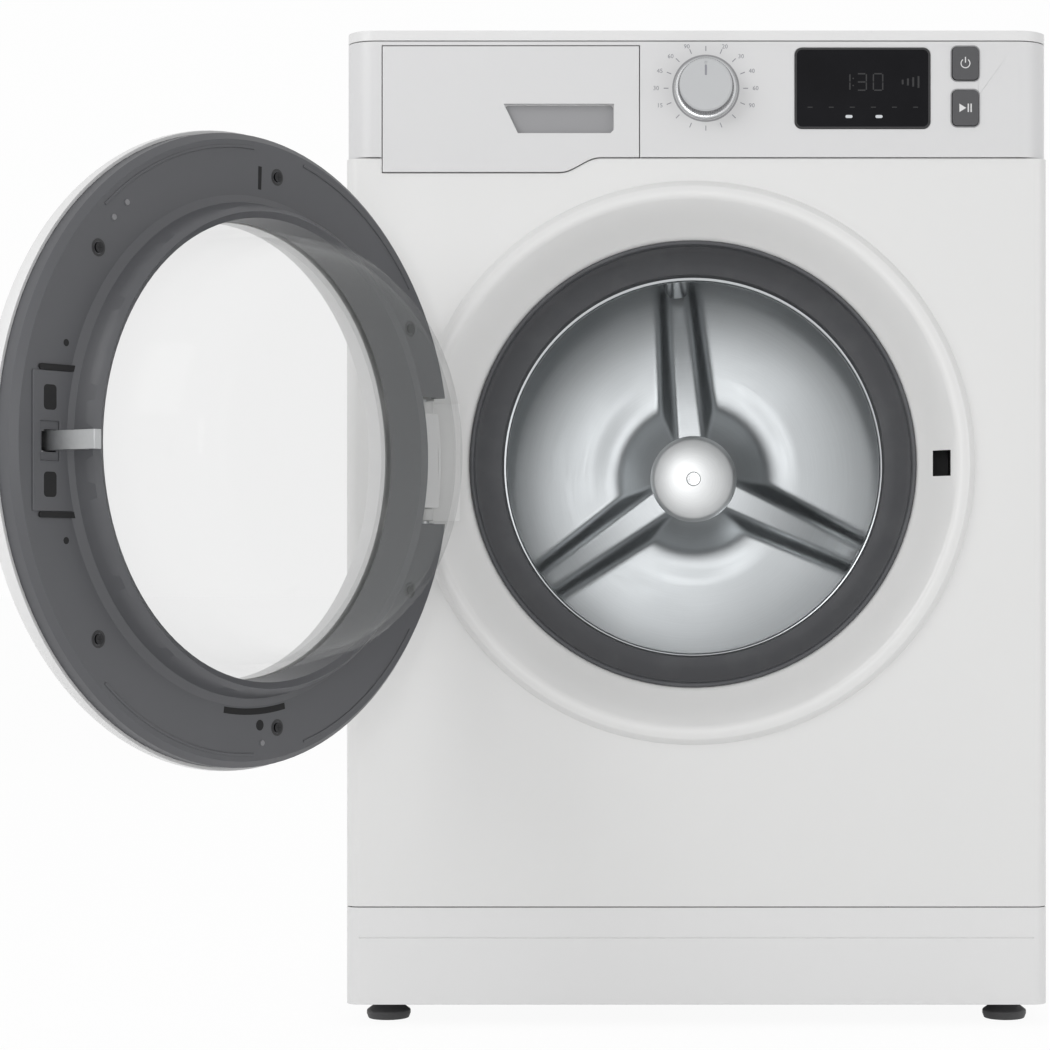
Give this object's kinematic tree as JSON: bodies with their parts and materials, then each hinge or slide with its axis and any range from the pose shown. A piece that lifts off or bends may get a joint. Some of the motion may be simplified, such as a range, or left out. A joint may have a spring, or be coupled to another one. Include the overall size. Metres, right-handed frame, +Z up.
{
  "type": "front load washing machine",
  "caption": "Freestanding front load washing machine with open round glass door, sprung tub with belt-driven drum, detergent drawer, knob, display and buttons",
  "frame": {"origin": "on the floor under the centre of the cabinet footprint", "axes": "+Z up, front of the machine towards -Y, +X to the right seen from the front"},
  "size_m": [0.8055, 0.9884, 0.85],
  "materials": {
    "white_enamel": "smooth white baked enamel on steel sheet",
    "white_plastic": "smooth white moulded plastic",
    "light_grey_plastic": "light grey moulded plastic",
    "tub_plastic": "filled polypropylene, matt",
    "dark_grey_plastic": "dark grey satin plastic",
    "black_plastic": "black satin plastic",
    "black_display": "glossy black display window",
    "clear_glass": "clear moulded glass",
    "stainless_steel": "stainless steel sheet",
    "zinc_steel": "zinc plated steel",
    "aluminium_casting": "raw aluminium casting",
    "grey_rubber": "dark grey moulded rubber",
    "black_rubber": "black rubber",
    "iron_weight": "rough grey casting",
    "blue_plastic": "light blue moulded plastic",
    "green_board": "green circuit board"
  },
  "bodies": {
    "cabinet": {"base_tray": "dark_grey_plastic", "left_side_panel": "white_enamel", "right_side_panel": "white_enamel", "rear_panel": "zinc_steel", "rear_cover": "zinc_steel", "cabinet_screws": "zinc_steel", "front_panel": "white_enamel", "front_rail": "zinc_steel", "worktop": "white_plastic", "control_fascia": "white_plastic", "display_window": "black_display", "control_board": "green_board", "foot_pads": "black_rubber", "foot_stems": "zinc_steel", "foot_locknuts": "zinc_steel", "hinge_bracket": "white_enamel", "hinge_pin": "zinc_steel", "door_lock": "black_plastic", "dispenser_housing": "light_grey_plastic", "dispenser_hose": "black_rubber", "inlet_valve": "white_plastic", "fill_hose": "black_rubber", "drain_pump": "light_grey_plastic", "sump_hose": "black_rubber", "drain_pipe": "light_grey_plastic", "cord_gland": "black_plastic", "transit_plugs": "light_grey_plastic", "door_gasket": "grey_rubber", "tub_springs": "zinc_steel"},
    "kick_panel": {"kick_panel": "white_plastic"},
    "pump_filter": {"pump_filter": "white_plastic"},
    "door": {"door_outer_ring": "white_plastic", "door_inner_frame": "dark_grey_plastic", "door_glass": "clear_glass", "hinge_arm": "zinc_steel", "latch_pin": "zinc_steel", "door_screws": "zinc_steel"},
    "latch_hook": {"latch_hook": "zinc_steel"},
    "drawer": {"drawer_front": "white_plastic", "drawer_tray": "white_plastic"},
    "siphon_cap": {"siphon_cap": "blue_plastic"},
    "programme_knob": {"programme_knob": "light_grey_plastic"},
    "power_button": {"power_button": "dark_grey_plastic"},
    "start_button": {"start_button": "dark_grey_plastic"},
    "tub": {"tub_front": "tub_plastic", "tub_rear": "tub_plastic", "front_counterweight": "iron_weight", "top_counterweight": "iron_weight", "drum_bearings": "zinc_steel", "heater": "zinc_steel", "motor_housing": "aluminium_casting", "drive_belt": "black_rubber"},
    "motor_rotor": {"motor_pulley": "zinc_steel"},
    "drum": {"drum_shell": "stainless_steel", "drum_lifters": "light_grey_plastic", "drum_spider": "aluminium_casting"},
    "left_damper": {"left_damper_tube": "dark_grey_plastic"},
    "left_damper_piston": {"left_damper_rod": "light_grey_plastic"},
    "right_damper": {"right_damper_tube": "dark_grey_plastic"},
    "right_damper_piston": {"right_damper_rod": "light_grey_plastic"}
  },
  "joints": [
    {"name": "door_swing", "type": "hinge", "parent": "cabinet", "child": "door", "pos_m": [-0.231, -0.3, 0.481], "axis": [0, 0, 1], "range_deg": [0, 124]},
    {"name": "latch_hook_turn", "type": "hinge", "parent": "door", "child": "latch_hook", "pos_m": [-0.46654, -0.67066, 0.481], "axis": [0, 0, 1], "range_deg": [-6, 0], "stiffness_Nm_per_rad": 0.4},
    {"name": "drawer_slide", "type": "slide", "parent": "cabinet", "child": "drawer", "axis": [0, -1, 0], "range_m": [0, 0.2]},
    {"name": "siphon_cap_lift", "type": "slide", "parent": "drawer", "child": "siphon_cap", "axis": [0, 0, 1], "range_m": [0, 0.01]},
    {"name": "programme_knob_turn", "type": "hinge", "parent": "cabinet", "child": "programme_knob", "pos_m": [0.008, -0.272, 0.8007], "axis": [0, -1, 0], "continuous": true},
    {"name": "power_button_press", "type": "slide", "parent": "cabinet", "child": "power_button", "axis": [0, 1, 0], "range_m": [0, 0.0015], "stiffness_N_per_m": 800, "springref_m": -0.001},
    {"name": "start_button_press", "type": "slide", "parent": "cabinet", "child": "start_button", "axis": [0, 1, 0], "range_m": [0, 0.0015], "stiffness_N_per_m": 800, "springref_m": -0.001},
    {"name": "tub_bounce", "type": "slide", "parent": "cabinet", "child": "tub", "axis": [0, 0, 1], "range_m": [-0.008, 0.008], "stiffness_N_per_m": 9000, "springref_m": 0.05333, "deforming": ["tub_springs", "dispenser_hose", "door_gasket", "sump_hose"]},
    {"name": "drum_spin", "type": "hinge", "parent": "tub", "child": "drum", "pos_m": [-0.003, 0, 0.481], "axis": [0, 1, 0], "continuous": true},
    {"name": "motor_spin", "type": "hinge", "parent": "tub", "child": "motor_rotor", "pos_m": [0.07, 0.21, 0.138], "axis": [0, 1, 0], "continuous": true},
    {"name": "left_damper_swing", "type": "hinge", "parent": "cabinet", "child": "left_damper", "pos_m": [-0.21081, -0.04, 0.053], "axis": [0, 1, 0], "range_deg": [-1, 1]},
    {"name": "left_damper_stroke", "type": "slide", "parent": "left_damper", "child": "left_damper_piston", "axis": [0.2924, 0, 0.9563], "range_m": [-0.01, 0.01]},
    {"name": "right_damper_swing", "type": "hinge", "parent": "cabinet", "child": "right_damper", "pos_m": [0.21081, -0.04, 0.053], "axis": [0, 1, 0], "range_deg": [-1, 1]},
    {"name": "right_damper_stroke", "type": "slide", "parent": "right_damper", "child": "right_damper_piston", "axis": [-0.2924, 0, 0.9563], "range_m": [-0.01, 0.01]},
    {"name": "pump_filter_turn", "type": "hinge", "parent": "cabinet", "child": "pump_filter", "pos_m": [0.2, -0.256, 0.066], "axis": [0, -1, 0], "range_deg": [0, 270]},
    {"name": "kick_panel_pull", "type": "slide", "parent": "cabinet", "child": "kick_panel", "axis": [0, -1, 0], "range_m": [0, 0.05]}
  ],
  "couplings": [
    {"joint": "motor_spin", "follows": "drum_spin", "ratio": 14},
    {"joint": "left_damper_swing", "follows": "tub_bounce", "rad_per_m": -1.4056},
    {"joint": "right_damper_swing", "follows": "tub_bounce", "rad_per_m": 1.4056},
    {"joint": "left_damper_stroke", "follows": "tub_bounce", "ratio": 0.9563},
    {"joint": "right_damper_stroke", "follows": "tub_bounce", "ratio": 0.9563}
  ]
}
